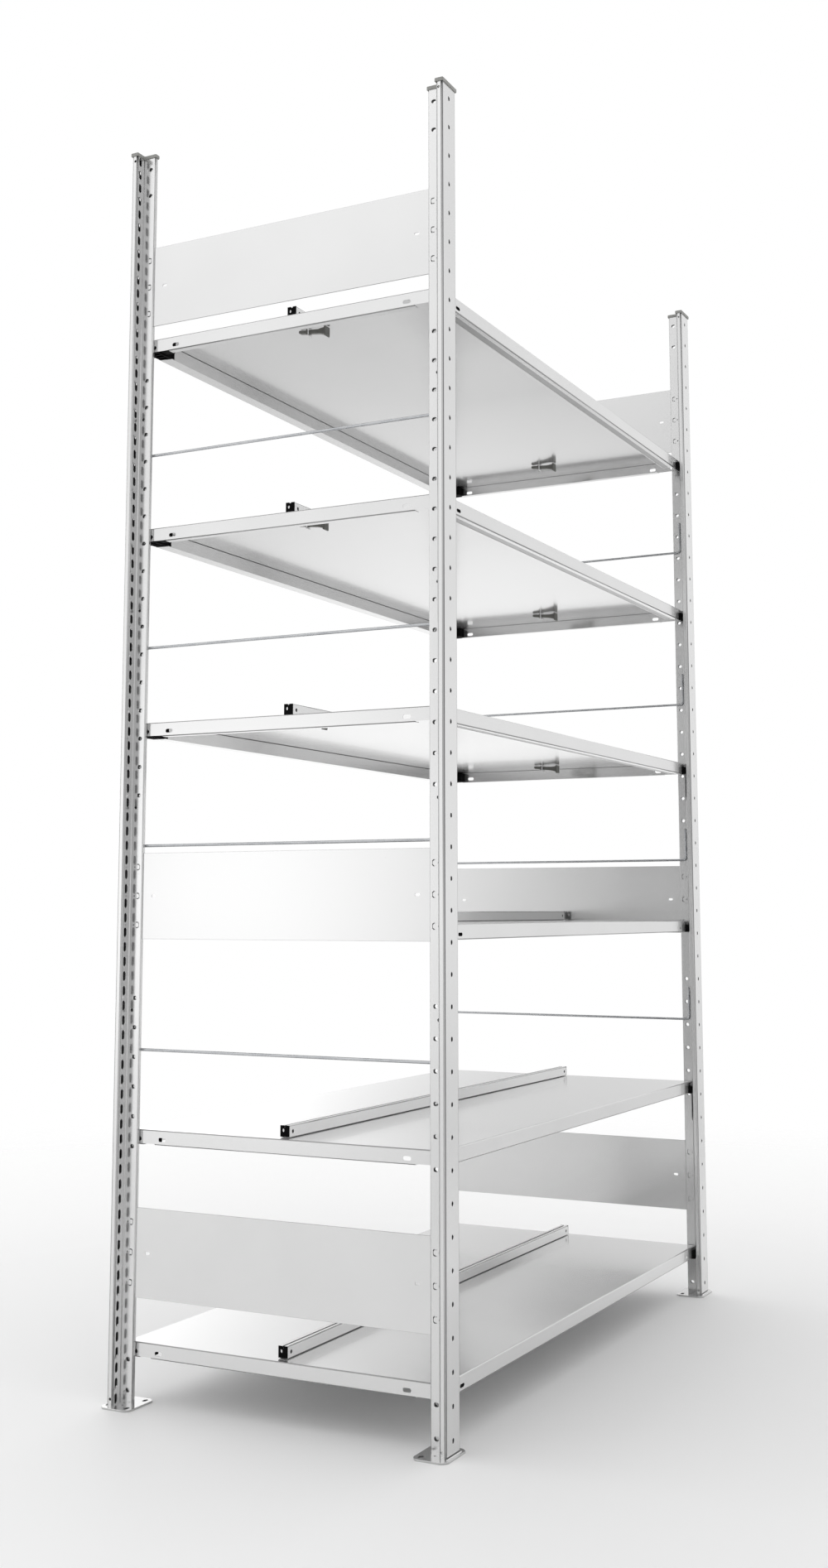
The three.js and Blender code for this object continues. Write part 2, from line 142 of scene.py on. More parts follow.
class Finish:
    """A material and the nodes that make it."""

    def __init__(self, name, owner=None):
        self.owner = owner or bpy.data.materials.new(name)
        self.owner.use_nodes = True
        self.tree = self.owner.node_tree
        self.tree.nodes.clear()

    def node(self, kind, settings=None, **values):
        made = self.tree.nodes.new(kind)
        for key, value in (settings or {}).items():
            setattr(made, key, value)
        for key, value in values.items():
            self.feed(made.inputs[key.replace("_", " ")], value)
        return made

    def feed(self, place, value):
        if isinstance(value, Shade):
            self.tree.links.new(value.socket, place)
        elif isinstance(value, bpy.types.NodeSocket):
            self.tree.links.new(value, place)
        else:
            place.default_value = value

    def place(self, stretch=(1, 1, 1)):
        coordinates = self.node("ShaderNodeTexCoord").outputs["Object"]
        return self.node("ShaderNodeMapping", Vector=coordinates, Scale=stretch).outputs[0]

    def noise(self, scale, detail=2.0, stretch=(1, 1, 1)):
        made = self.node("ShaderNodeTexNoise", Vector=self.place(stretch), Scale=scale, Detail=detail)
        return Shade(self.tree, made.outputs["Fac"])

    def mixed(self, share, low, high):
        made = self.node("ShaderNodeMix", {"data_type": "RGBA"})
        self.feed(made.inputs[0], share)
        self.feed(made.inputs[6], (*low, 1))
        self.feed(made.inputs[7], (*high, 1))
        return made.outputs[2]

    def bump(self, height, distance, strength):
        made = self.node("ShaderNodeBump", Height=height, Distance=distance, Strength=strength)
        return made.outputs[0]

    def surface(self, color, roughness, normal, **steady):
        shader = self.node("ShaderNodeBsdfPrincipled")
        self.feed(shader.inputs["Base Color"], color)
        self.feed(shader.inputs["Roughness"], roughness)
        self.feed(shader.inputs["Normal"], normal)
        for key, value in steady.items():
            shader.inputs[key.replace("_", " ")].default_value = value
        out = self.node("ShaderNodeOutputMaterial")
        self.tree.links.new(shader.outputs[0], out.inputs[0])
        return self.owner


def powder_coat(name, dark, light, roughness=0.19, metallic=0.8):
    """Sprayed and baked paint: cloudy thickness, fine orange peel, tiny specks of grit."""
    finish = Finish(name)
    clouds = finish.noise(5, 3)
    peel = finish.noise(950, 2)
    grit = finish.noise(260, 1).between(0.77, 0.83)
    color = finish.mixed(clouds.between(0.3, 0.7), dark, light)
    rough = roughness + (clouds - 0.5) * 0.06 + grit * 0.08
    normal = finish.bump(peel + grit * 0.5, 0.00004, 0.2)
    coat = {"Coat_Weight": 0.35, "Coat_Roughness": 0.08}
    return finish.surface(color, rough, normal, Metallic=metallic, **coat)


def moulded(name, dark, light, roughness, shine=0.5):
    """Injection-moulded plastic: sparked grain, slight flow marks."""
    finish = Finish(name)
    flow = finish.noise(60, 3, (1, 0.3, 1))
    spark = finish.noise(1400, 3)
    color = finish.mixed(flow.between(0.35, 0.65), dark, light)
    rough = roughness + (spark - 0.5) * 0.15
    return finish.surface(color, rough, finish.bump(spark, 0.00012, 0.5), Specular_IOR_Level=shine)


def plated(name, dark, light, stretch, roughness):
    """Zinc-plated steel: a cloudy bloom over fine marks along the length."""
    finish = Finish(name)
    bloom = finish.noise(45, 4)
    drawn = finish.noise(400, 2, stretch)
    color = finish.mixed((bloom * 0.6 + drawn * 0.4).between(0.3, 0.7), dark, light)
    rough = roughness + (bloom - 0.5) * 0.2 + (drawn - 0.5) * 0.1
    return finish.surface(color, rough, finish.bump(drawn, 0.00008, 0.4), Metallic=0.9)


PAINT = powder_coat("powder_coat_light_grey", (0.734, 0.734, 0.734), (0.764, 0.764, 0.764))
# Painted shade: a darker coat that stands for the shade along the posts' and rails' bends and the foot
# plates' edges.
EDGE_SHADE_PAINT = powder_coat(
    "powder_coat_painted_shade_at_bends", (0.505, 0.505, 0.505), (0.555, 0.555, 0.555),
)
# Darker painted shade along the trays' end bends and the bend under their fronts, under the folds'
# joggles and on the panels' rims.
RIM_SHADE_PAINT = powder_coat(
    "powder_coat_painted_shade_at_rims", (0.335, 0.335, 0.335), (0.395, 0.395, 0.395), 0.3,
)
# Dark painted shade inside the posts' hollows and in the foot plates' holes.
HOLLOW_SHADE_PAINT = powder_coat(
    "painted_shade_in_the_hollows", (0.13, 0.13, 0.132), (0.19, 0.19, 0.193), 0.45, 0.6,
)
RAIL_PAINT = powder_coat("rail_coat_white", (0.78, 0.78, 0.78), (0.82, 0.82, 0.82), 0.3)
CAP_PLASTIC = moulded("cap_plastic_warm_grey", (0.3, 0.3, 0.285), (0.36, 0.36, 0.345), 0.5)
BLACK_PLASTIC = moulded(
    "black_plastic", (0.002, 0.002, 0.0022), (0.005, 0.005, 0.0054), 0.65, shine=0.06,
)
WEDGE_PLASTIC = moulded("wedge_plastic_grey", (0.13, 0.13, 0.12), (0.18, 0.18, 0.165), 0.42)
ROD_ZINC = plated("zinc_wire", (0.42, 0.43, 0.45), (0.6, 0.61, 0.62), (1, 0.05, 1), 0.28)
BRACE_ZINC = plated("galvanised_sheet", (0.34, 0.345, 0.35), (0.5, 0.505, 0.51), (0.3, 0.3, 1), 0.42)


# Mesh making, in millimetres

FACING = {
    "x": Matrix(((0, 0, 1, 0), (1, 0, 0, 0), (0, 1, 0, 0), (0, 0, 0, 1))),
    "y": Matrix.Rotation(math.pi / 2, 4, "X"),
    "z": Matrix.Identity(4),
}


def span(low, high):
    """The middle and the length between two values, in either order."""
    return (low + high) / 2, abs(high - low)


def is_bend(face):
    return max(abs(c) for c in face.normal) < FLAT


def sharp_edges(bm, inside):
    """The edges that turn a corner and lie wholly where the test says."""
    return [e for e in bm.edges if e.calc_face_angle(0) > 1 and all(inside(v.co) for v in e.verts)]


def fold_edges(bm, x, y):
    """The long edges of a drawn section at one of its corners and at that corner's mirror."""
    return [
        e for e in bm.edges
        if all(abs(abs(v.co.x) - x) < SAME and abs(v.co.y - y) < SAME for v in e.verts)
    ]


def edges_of(verts):
    """Every edge at some vertices, once each and in the same order on every run."""
    return list(dict.fromkeys(e for v in verts for e in v.link_edges))


def upright_edges(bm):
    return [e for e in bm.edges if abs(e.verts[0].co.z - e.verts[1].co.z) > 1]


def block(bm, x, y, z, bevel=0.0, segments=2):
    """A block between two values on each axis, with its edges rounded."""
    (cx, sx), (cy, sy), (cz, sz) = span(*x), span(*y), span(*z)
    matrix = Matrix.Translation((cx, cy, cz)) @ Matrix.Diagonal((sx, sy, sz, 1))
    verts = bmesh.ops.create_cube(bm, size=1, matrix=matrix)["verts"]
    if bevel:
        rounded(bm, edges_of(verts), bevel, segments)


def rounded(bm, edges, radius, segments):
    """The edges turned into bends of a radius."""
    bmesh.ops.bevel(
        bm, geom=edges, offset=radius, offset_type="OFFSET", segments=segments,
        profile=0.5, affect="EDGES", clamp_overlap=True, material=-1,
    )


def slot_bar(bm, facing, at, wide, tall, length, sides=HOLE_SIDES):
    """A bar with a round or oblong section, for a hole through a face that looks along an axis."""
    radius = min(wide, tall) / 2
    turn = Matrix.Rotation(math.pi / sides, 4, "Z")
    verts = bmesh.ops.create_cone(
        bm, cap_ends=True, cap_tris=False, segments=sides, radius1=radius, radius2=radius,
        depth=length, matrix=turn,
    )["verts"]
    for vert in verts:
        vert.co.x += math.copysign(wide / 2 - radius, vert.co.x)
        vert.co.y += math.copysign(tall / 2 - radius, vert.co.y)
    bmesh.ops.transform(bm, matrix=Matrix.Translation(at) @ FACING[facing], verts=verts)


def prism(bm, corners, low, high, facing="z"):
    """An outline of corners, drawn out between two levels along an axis."""
    verts = [bm.verts.new((x, y, low)) for x, y in corners]
    face = bm.faces.new(verts)
    grown = bmesh.ops.extrude_face_region(bm, geom=[face])["geom"]
    top = [g for g in grown if isinstance(g, bmesh.types.BMVert)]
    bmesh.ops.translate(bm, verts=top, vec=(0, 0, high - low))
    everything = verts + top
    bmesh.ops.transform(bm, matrix=FACING[facing], verts=everything)
    faces = list(dict.fromkeys(f for v in everything for f in v.link_faces))
    bmesh.ops.recalc_face_normals(bm, faces=faces)
    return everything


def carved(bm, tool, operation="DIFFERENCE"):
    """The first mesh with the second one taken from it or joined to it."""
    holders = []
    for part in (bm, tool):
        mesh = bpy.data.meshes.new("blank")
        part.to_mesh(mesh)
        part.free()
        holder = bpy.data.objects.new("blank", mesh)
        bpy.context.scene.collection.objects.link(holder)
        holders.append(holder)
    body, other = holders
    modifier = body.modifiers.new("carve", "BOOLEAN")
    modifier.object = other
    modifier.operation = operation
    modifier.solver = "MANIFOLD"
    result = bmesh.new()
    result.from_mesh(body.evaluated_get(bpy.context.evaluated_depsgraph_get()).to_mesh())
    for holder in holders:
        mesh = holder.data
        bpy.data.objects.remove(holder)
        bpy.data.meshes.remove(mesh)
    return result


def joined(bm, loose):
    """Adds a loose mesh to another one, without a cut between them."""
    mesh = bpy.data.meshes.new("blank")
    loose.to_mesh(mesh)
    loose.free()
    bm.from_mesh(mesh)
    bpy.data.meshes.remove(mesh)


def piece(name, bm, materials, body, replaces, matrix):
    """Puts a finished mesh in its place, in metres, and hangs it on its body.

    Flat faces stay flat and bends are shaded smooth. A place that mirrors the mesh turns its
    faces inside out, so they are turned back.
    """
    bm.normal_update()
    for face in bm.faces:
        face.smooth = is_bend(face)
    bmesh.ops.transform(bm, matrix=matrix, verts=bm.verts)
    bmesh.ops.scale(bm, vec=(MM, MM, MM), verts=bm.verts)
    if matrix.determinant() < 0:
        bmesh.ops.reverse_faces(bm, faces=bm.faces)
    mesh = bpy.data.meshes.new(name)
    bm.to_mesh(mesh)
    bm.free()
    for material in materials:
        mesh.materials.append(material)
    made = bpy.data.objects.new(name, mesh)
    bpy.context.scene.collection.objects.link(made)
    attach(made, body)
    if replaces:
        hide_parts(*replaces)


# Posts: x across the head, y inwards from the head's front

HEAD_HALF = 25
HEAD_DEPTH = 12
STEM_HALF = 4
POST_DEPTH = 37
WALL = 1.5
HEAD_BEND = 3.1
STEM_BEND = 1.2
TIP_BEND = 1.8
LIP_GAP = 0.3
PLATE = 3

# The punched rows: their steps, the places of each row and the size of its holes
HOLE_STEP = 50
SLOT_STEP = 25
HEAD_HOLE = (6, 8)
STEM_HOLE_IN = 26.6
STEM_HOLE = (9, 7.2)
BACK_ROW = 15.9
BACK_SLOT = (7.5, 16.5)
END_HOLE_IN = 6.7
END_HOLE_HEIGHTS = (2187, 13)
END_HOLE = (5, 5)
ROD_HOLE = (6, 6)
CLINCH_DOT_IN = 20.8
CLINCH_DOT = (2.8, 2.8)
PANEL_CLEAR = 130


def post_blank():
    """The folded section: a hollow head and a stem that is open at its tip."""
    inner, back, tip = HEAD_HALF - WALL, HEAD_DEPTH - WALL, POST_DEPTH - WALL
    core = STEM_HALF - WALL
    inside = [
        (LIP_GAP, POST_DEPTH), (LIP_GAP, tip), (core, tip), (core, back), (inner, back), (inner, WALL),
    ]
    outside = [
        (HEAD_HALF, 0), (HEAD_HALF, HEAD_DEPTH), (STEM_HALF, HEAD_DEPTH), (STEM_HALF, POST_DEPTH),
    ]
    inside_mirror = [(-x, y) for x, y in reversed(inside)]
    outside_mirror = [(-x, y) for x, y in reversed(outside)]
    bm = bmesh.new()
    prism(bm, inside + inside_mirror + outside_mirror + outside, PLATE, POST_TOP)
    bends = (
        (HEAD_HALF, 0, HEAD_BEND, 5), (inner, WALL, HEAD_BEND - WALL, 3),
        (HEAD_HALF, HEAD_DEPTH, HEAD_BEND, 5), (inner, back, HEAD_BEND - WALL, 3),
        (STEM_HALF, HEAD_DEPTH, STEM_BEND, 3), (core, back, STEM_BEND, 2),
        (STEM_HALF, POST_DEPTH, TIP_BEND, 3), (core, tip, TIP_BEND - WALL, 1),
    )
    for x, y, radius, segments in bends:
        rounded(bm, fold_edges(bm, x, y), radius, segments)
    return bm


def clinch_tool(bm, side, z):
    """The slit round a clinched tab in the stem's wall: a C that opens towards the head.

    It is wide and 2 * tall outside, its arms and its spine are arm and slit across, and its
    corners are cut off.
    """
    wide, tall, arm, slit, reach, corner = 6.3, 5.6, 1.8, 0.9, 31.9, 1.9
    corners = [
        (reach - wide, -tall), (reach - corner, -tall), (reach, corner - tall),
        (reach, tall - corner), (reach - corner, tall), (reach - wide, tall),
        (reach - wide, tall - arm), (reach - corner - slit, tall - arm),
        (reach - slit, tall - corner - arm), (reach - slit, corner + arm - tall),
        (reach - corner - slit, arm - tall), (reach - wide, arm - tall),
    ]
    low, high = sorted((side * (STEM_HALF - 2 * WALL), side * (STEM_HALF + WALL)))
    made = prism(bm, corners, low, high, "x")
    bmesh.ops.translate(bm, verts=made, vec=(0, 0, z))


def post_tools():
    """The punched rows, the holes near both ends of the post and those for the rods' tips."""
    through, one_wall = 12, 5
    tools = bmesh.new()
    for z in range(SLOT_STEP, POST_TOP, HOLE_STEP):
        slot_bar(tools, "y", (0, 0, z), *HEAD_HOLE, 6)
        if all(abs(z - height) > PANEL_CLEAR for height in PANEL_HEIGHTS.values()):
            slot_bar(tools, "x", (0, STEM_HOLE_IN, z), *STEM_HOLE, through)
    for step in range(POST_TOP // SLOT_STEP):
        for side in (-1, 1):
            place = (side * BACK_ROW, HEAD_DEPTH, SLOT_STEP * (step + 0.5))
            slot_bar(tools, "y", place, *BACK_SLOT, one_wall)
    for z in END_HOLE_HEIGHTS:
        for side in (-1, 1):
            slot_bar(tools, "x", (side * HEAD_HALF, END_HOLE_IN, z), *END_HOLE, one_wall)
    for number in SHELVES[1:-1]:
        tip = shelf_top(number) + ROD_OVER_SHELF + ROD_RISE
        for side in (-1, 1):
            slot_bar(tools, "x", (side * STEM_HALF, ROD_TIP_IN, tip), *ROD_HOLE, one_wall)
    return tools


def clinch_tools():
    """Three clinches behind each side panel, with a dot in the middle of each tab."""
    tools = bmesh.new()
    for height in PANEL_HEIGHTS.values():
        for step in (-HOLE_STEP, 0, HOLE_STEP):
            for side in (-1, 1):
                clinch_tool(tools, side, height + step)
                slot_bar(tools, "x", (side * STEM_HALF, CLINCH_DOT_IN, height + step), *CLINCH_DOT, 4)
    return tools


def paint_post_shade(bm):
    """The outer bends get painted shade, and the hollow and its cut holes get darker painted shade."""
    inner, back = HEAD_HALF - WALL, HEAD_DEPTH - WALL
    near = 0.02
    for face in bm.faces:
        if abs(face.normal.z) > 0.5:
            continue
        middle = face.calc_center_median()
        across = abs(middle.x)
        if across < inner + near and near < middle.y < back + near:
            face.material_index = HOLLOW_SHADE_FINISH
        elif is_bend(face) and across > HEAD_HALF - HEAD_BEND + near:
            face.material_index = SECOND_FINISH


def foot_blank():
    """Foot plate with chamfered corners, two anchor slots, two small holes and a rolled toe."""
    half, toe, heel, chamfer = 40, -6.5, 53.5, 9
    anchor_slot, small_hole, depth = (13, 7.4), (4, 4), 10
    bm = bmesh.new()
    prism(bm, [
        (chamfer - half, toe), (half - chamfer, toe), (half, toe + chamfer),
        (half, heel - chamfer), (half - chamfer, heel), (chamfer - half, heel),
        (-half, heel - chamfer), (-half, toe + chamfer),
    ], 0, PLATE)
    rounded(bm, upright_edges(bm), 3, 3)
    rounded(bm, sharp_edges(bm, lambda co: co.z > PLATE - SAME), 0.6, 2)
    tools = bmesh.new()
    for side in (-1, 1):
        slot_bar(tools, "z", (side * 26, 42, PLATE / 2), *anchor_slot, depth)
        slot_bar(tools, "z", (side * 13.5, 24.5, PLATE / 2), *small_hole, depth)
    bm = carved(bm, tools)
    ledge = bmesh.new()
    block(ledge, (-HEAD_HALF - 0.4, HEAD_HALF + 0.4), (-2.6, 0), (PLATE - 0.5, PLATE + 1.6), 0.9, 3)
    bm = carved(bm, ledge, "UNION")
    bm.normal_update()
    # The plate's edges get painted shade, and the walls of its holes darker painted shade.
    for face in bm.faces:
        middle = face.calc_center_median()
        if abs(face.normal.z) < 0.9 and middle.z < PLATE:
            in_hole = abs(middle.x) < half - 5 and toe + 8 < middle.y < heel - 5
            face.material_index = HOLLOW_SHADE_FINISH if in_hole else SECOND_FINISH
    return bm


def post_outline(grow):
    """The T of the post's outside, grown by a margin."""
    half, head = HEAD_HALF + grow, HEAD_DEPTH + grow
    stem, depth = STEM_HALF + grow, POST_DEPTH + grow
    return [
        (-half, -grow), (half, -grow), (half, head), (stem, head), (stem, depth), (-stem, depth),
        (-stem, head), (-half, head),
    ]


def cap_blank():
    """T-shaped cap with a skirt round the post and a rounded crown."""
    skirt_wall, play, bottom, top = 2, 0.15, POST_TOP - 3.4, POST_TOP + 2.8
    bm = bmesh.new()
    prism(bm, post_outline(skirt_wall), bottom, top)
    rounded(bm, upright_edges(bm), 1.8, 3)
    rounded(bm, sharp_edges(bm, lambda co: co.z > top - SAME), 1.3, 3)
    rounded(bm, sharp_edges(bm, lambda co: co.z < bottom + SAME), 0.4, 1)
    room = bmesh.new()
    prism(room, post_outline(play), bottom - 2, POST_TOP + 0.1)
    return carved(bm, room)


def make_posts():
    post = carved(carved(post_blank(), post_tools()), clinch_tools())
    post.normal_update()
    paint_post_shade(post)
    foot, cap = foot_blank(), cap_blank()
    for face, fy in FACES:
        for end, ex in ENDS:
            node = f"{face}_{end}"
            turn = Matrix.Rotation(math.pi if fy > 0 else 0, 4, "Z")
            place = Matrix.Translation((ex * POST_X, fy * POST_Y, 0)) @ turn
            piece(f"slotted_post_{node}", post.copy(), [PAINT, EDGE_SHADE_PAINT, HOLLOW_SHADE_PAINT], "frame",
                  [f"post_{node}"], place)
            piece(f"foot_plate_{node}", foot.copy(), [PAINT, EDGE_SHADE_PAINT, HOLLOW_SHADE_PAINT], "frame",
                  (), place)
            piece(f"post_cap_{node}", cap.copy(), [CAP_PLASTIC], "frame",
                  [f"cap_{node}"], place)
    for blank in (post, foot, cap):
        blank.free()


# Shelves: x along the shelf, y across it, z up from its underside

SHEET = 1
BEND = 1.7
END_FLANGE = 14
FOLD = 25
FOLD_START = 39
FOLD_WALL_START = 51
JOGGLE_START = 45
JOGGLE_IN = (10, 23.4)
JOGGLE = 0.5
CORNER_OPEN = 48
TAB_PLACES = (-543, 505)
TAB_HALF = 6


def tray_corners():
    """The shelf's four corners, each with the ways out of the shelf along X and Y."""
    return [(ex * SHELF_HALF, fy * SHELF_REACH, ex, fy) for ex in (-1, 1) for fy in (-1, 1)]


def folded_tray():
    """Plate with flanged short edges and box-folded long ones, the folds not yet cut open."""
    bm = bmesh.new()
    block(bm, (-SHELF_HALF, SHELF_HALF), (-SHELF_REACH, SHELF_REACH), (0, SHELF_EDGE), BEND, 3)
    inside = bmesh.new()
    half, reach = SHELF_HALF - SHEET, SHELF_REACH - SHEET
    block(inside, (-half, half), (-reach, reach), (SHEET, SHELF_EDGE - SHEET), BEND - SHEET, 2)
    bm = carved(bm, inside)
    opening = bmesh.new()
    half, inner = SHELF_HALF - END_FLANGE, SHELF_REACH - FOLD
    block(opening, (-half, half), (-inner, inner), (-2, 2))
    bm = carved(bm, opening)
    walls = bmesh.new()
    half = SHELF_HALF - FOLD_WALL_START
    for side in (-1, 1):
        block(walls, (-half, half), (side * inner, side * (inner + SHEET)), (0.2, SHELF_EDGE - 1.8))
    bm = carved(bm, walls, "UNION")
    joggle = bmesh.new()
    half = SHELF_HALF - JOGGLE_START
    block(joggle, (-half, half), [y - SHELF_REACH for y in JOGGLE_IN], (-1, JOGGLE))
    return carved(bm, joggle)


def tray_blank(braced):
    """The folded tray, cut open at its corners and punched; a braced one has no lock slots."""
    tools = bmesh.new()
    for x, y, ex, fy in tray_corners():
        slant = x - ex * (FOLD_START + 4)
        prism(tools, [
            (x + ex, y + fy), (x - ex * FOLD_START, y + fy), (slant, y - fy * FOLD),
            (slant, y - fy * CORNER_OPEN), (x + ex, y - fy * CORNER_OPEN),
        ], -2, BEND + 0.05)
    bm = carved(folded_tray(), tools)
    tools = bmesh.new()
    end_slot, end_hole, lock_slot, far_slot, depth = (15, 7), (7.6, 7.6), (16, 6), (8, 5), 6
    for x, y, ex, fy in tray_corners():
        block(tools, (x - ex * 1.3, x - ex * 24), (y + fy * 2, y - fy * 2.2), (-3, 22))
        slot_bar(tools, "x", (x, y - fy * 63, 9.5), *end_slot, depth)
        slot_bar(tools, "x", (x, y - fy * 17, 9.5), *end_hole, depth, 16)
    if not braced:
        for side in (-1, 1):
            y = side * SHELF_REACH
            slot_bar(tools, "y", (side * (SHELF_HALF - 67), y, 8.5), *lock_slot, depth)
            slot_bar(tools, "y", (-side * (SHELF_HALF - 55), y, 8.5), *far_slot, depth)
    for x in TAB_PLACES:
        hole = TAB_HALF + 0.3
        block(tools, (x - hole, x + hole), (-1.3, 1.3), (SHELF_EDGE - 3, SHELF_EDGE + 2))
    return carved(bm, tools)


def tray_bends(bm):
    """The end bends, the bend under the front and the joggle's underside get painted shade."""
    for face in bm.faces:
        middle = face.calc_center_median()
        near_top = middle.z > SHELF_EDGE - BEND
        near_foot = middle.z < BEND
        at_end = abs(middle.x) > SHELF_HALF - BEND and (near_top or near_foot)
        under_front = abs(middle.y) > SHELF_REACH - BEND and near_foot
        in_joggle = abs(middle.z - JOGGLE) < SAME and face.normal.z < -0.9
        if is_bend(face) and (at_end or under_front) and face.calc_area() > 20 or in_joggle:
            face.material_index = SECOND_FINISH


# Divider rails: x along the rail, y across it, z up from its foot

RAIL_HALF = 603
RAIL_SIDE = 8.5
RAIL_TALL = 20
RAIL_WALL = 1.2
RAIL_BEND = 1.6
RAIL_LIFT = 0.3


def rail_blank():
    """Slotted C-channel with rounded folds and two tabs through the shelf."""
    inner, top, slot = RAIL_SIDE - RAIL_WALL, RAIL_TALL - RAIL_WALL, 1.75
    outline = [
        (-RAIL_SIDE, 0), (RAIL_SIDE, 0), (RAIL_SIDE, RAIL_TALL), (slot, RAIL_TALL), (slot, top),
        (inner, top), (inner, RAIL_WALL), (-inner, RAIL_WALL), (-inner, top), (-slot, top),
        (-slot, RAIL_TALL), (-RAIL_SIDE, RAIL_TALL),
    ]
    bm = bmesh.new()
    prism(bm, outline, -RAIL_HALF, RAIL_HALF)
    for x, y, radius in (
        (RAIL_SIDE, RAIL_TALL, RAIL_BEND), (RAIL_SIDE, 0, RAIL_BEND),
        (inner, top, 0.5), (inner, RAIL_WALL, 0.5),
    ):
        rounded(bm, fold_edges(bm, x, y), radius, 3)
    bmesh.ops.transform(bm, matrix=FACING["x"], verts=bm.verts)
    tools = bmesh.new()
    for end in (-1, 1):
        slot_bar(tools, "y", (end * (RAIL_HALF - 11), 0, RAIL_TALL / 2), 6.5, 6.5, 24, 16)
    bm = carved(bm, tools)
    tabs = bmesh.new()
    for x in TAB_PLACES:
        block(tabs, (x - TAB_HALF, x + TAB_HALF), (-1, 1), (-15, 0.8), 0.4, 1)
    return carved(bm, tabs, "UNION")


def rail_edges(bm):
    """The long bends get painted shade."""
    for face in bm.faces:
        outer = abs(face.calc_center_median().y) > RAIL_SIDE - RAIL_BEND
        if is_bend(face) and outer and face.calc_area() > 50:
            face.material_index = SECOND_FINISH


def plug_blank():
    """Plug in a rail's end: a flat flange with a notch over the rail's slot and a blind hole."""
    bm = bmesh.new()
    face_x, foot = RAIL_HALF + 2, 1.6
    outline = [
        (-RAIL_SIDE, foot), (RAIL_SIDE, foot), (RAIL_SIDE, RAIL_TALL), (2.2, RAIL_TALL),
        (0.4, RAIL_TALL - 4), (-1.6, RAIL_TALL - 1.4), (-2.2, RAIL_TALL), (-RAIL_SIDE, RAIL_TALL),
    ]
    prism(bm, outline, RAIL_HALF, face_x)
    bmesh.ops.transform(bm, matrix=FACING["x"], verts=bm.verts)
    rounded(bm, sharp_edges(bm, lambda co: co.x > face_x - SAME), 0.4, 2)
    tools = bmesh.new()
    slot_bar(tools, "x", (face_x, -3, 12), 4.6, 6, 3, 16)
    bm = carved(bm, tools)
    core = bmesh.new()
    block(core, (RAIL_HALF - 14, RAIL_HALF + 0.5), (-6.6, 6.6), (2, RAIL_TALL - 2), 0.6, 1)
    bm = carved(bm, core, "UNION")
    bm.normal_update()
    for face in bm.faces:
        middle = face.calc_center_median()
        if face.normal.x > 0.99 and RAIL_HALF < middle.x < RAIL_HALF + 1.5:
            face.material_index = SECOND_FINISH
    return bm


def wedge_blank():
    """Wedge driven through a rail's tab under the shelf: a tapered bar with a flanged head."""
    bm = bmesh.new()
    prism(bm, [(-33, -5), (18.5, -1.5), (20, -2.6), (20, -6), (18, -7.2), (-33, -13.5)], -4.2, 4.2)
    ends = [e for e in bm.edges if abs(e.verts[0].co.z - e.verts[1].co.z) < SAME]
    rounded(bm, ends, 0.8, 2)
    head = bmesh.new()
    block(head, (-37, -33.6), (-19, -1.2), (-8.6, 8.6), 1.2, 2)
    bm = carved(bm, head, "UNION")
    rib = bmesh.new()
    prism(rib, [(-34, -15.5), (-34, -3), (-22, -4.5), (-22, -12.2)], -5.6, 5.6)
    bm = carved(bm, rib, "UNION")
    collar = bmesh.new()
    block(collar, (1.6, 4.6), (-10.4, -1.2), (-5.2, 5.2), 0.8, 2)
    bm = carved(bm, collar, "UNION")
    tools = bmesh.new()
    block(tools, (-1.25, 1.25), (-20, 5), (-7, 7))
    bm = carved(bm, tools)
    bmesh.ops.transform(bm, matrix=FACING["x"], verts=bm.verts)
    return bm


# Corner supports: u inwards from the shelf's end, v inwards from its long face


HOOK_SIDES = (7.45, 14.35)
HOOK_TIP = -10.8
HOOK_TALL = 10
SUPPORT_SEAT = 1.55
CORNER_WALL = 1.3
BLOCK_END = 38.7
TONGUE_END = 23.7
TONGUE_BACK = -6.7
BLOCK_TOP = 23.4


def hook_blank(seats):
    """Hooks for the post's slots, one over each seat, each with a lip behind the slot."""
    peg = bmesh.new()
    for seat in seats:
        hook = bmesh.new()
        block(hook, HOOK_SIDES, (HOOK_TIP, -5.9), (seat, seat + HOOK_TALL), 0.5, 1)
        lip = bmesh.new()
        block(lip, HOOK_SIDES, (HOOK_TIP, HOOK_TIP + 2), (seat - 6, seat + HOOK_TALL), 0.5, 1)
        joined(peg, carved(hook, lip, "UNION"))
    return peg


def support_blank(peg):
    """Plastic corner block with ribs, a tongue down the gap and a hook for the post's slot."""
    bm = bmesh.new()
    block(bm, (CORNER_WALL, BLOCK_END), (CORNER_WALL, 25), (0, BLOCK_TOP), 1, 2)
    tongue = bmesh.new()
    block(tongue, (CORNER_WALL, TONGUE_END), (TONGUE_BACK, 3), (0, 21.7), 0.9, 2)
    bm = carved(bm, tongue, "UNION")
    arm = bmesh.new()
    block(arm, (CORNER_WALL, 24), (20, 47), (2.5, 22.5), 0.8, 1)
    bm = carved(bm, arm, "UNION")
    tools = bmesh.new()
    for u in (4, 16, 28):
        block(tools, (u, u + 8.6), (4.4, 22.4), (-3, 17), 0.8, 1)
    block(tools, (5, 11), (-4.4, -1), (-3, 12), 0.6, 1)
    block(tools, (14, 20), (-4.4, -1), (-3, 12), 0.6, 1)
    bm = carved(bm, tools)
    return carved(bm, peg, "UNION") if peg else bm


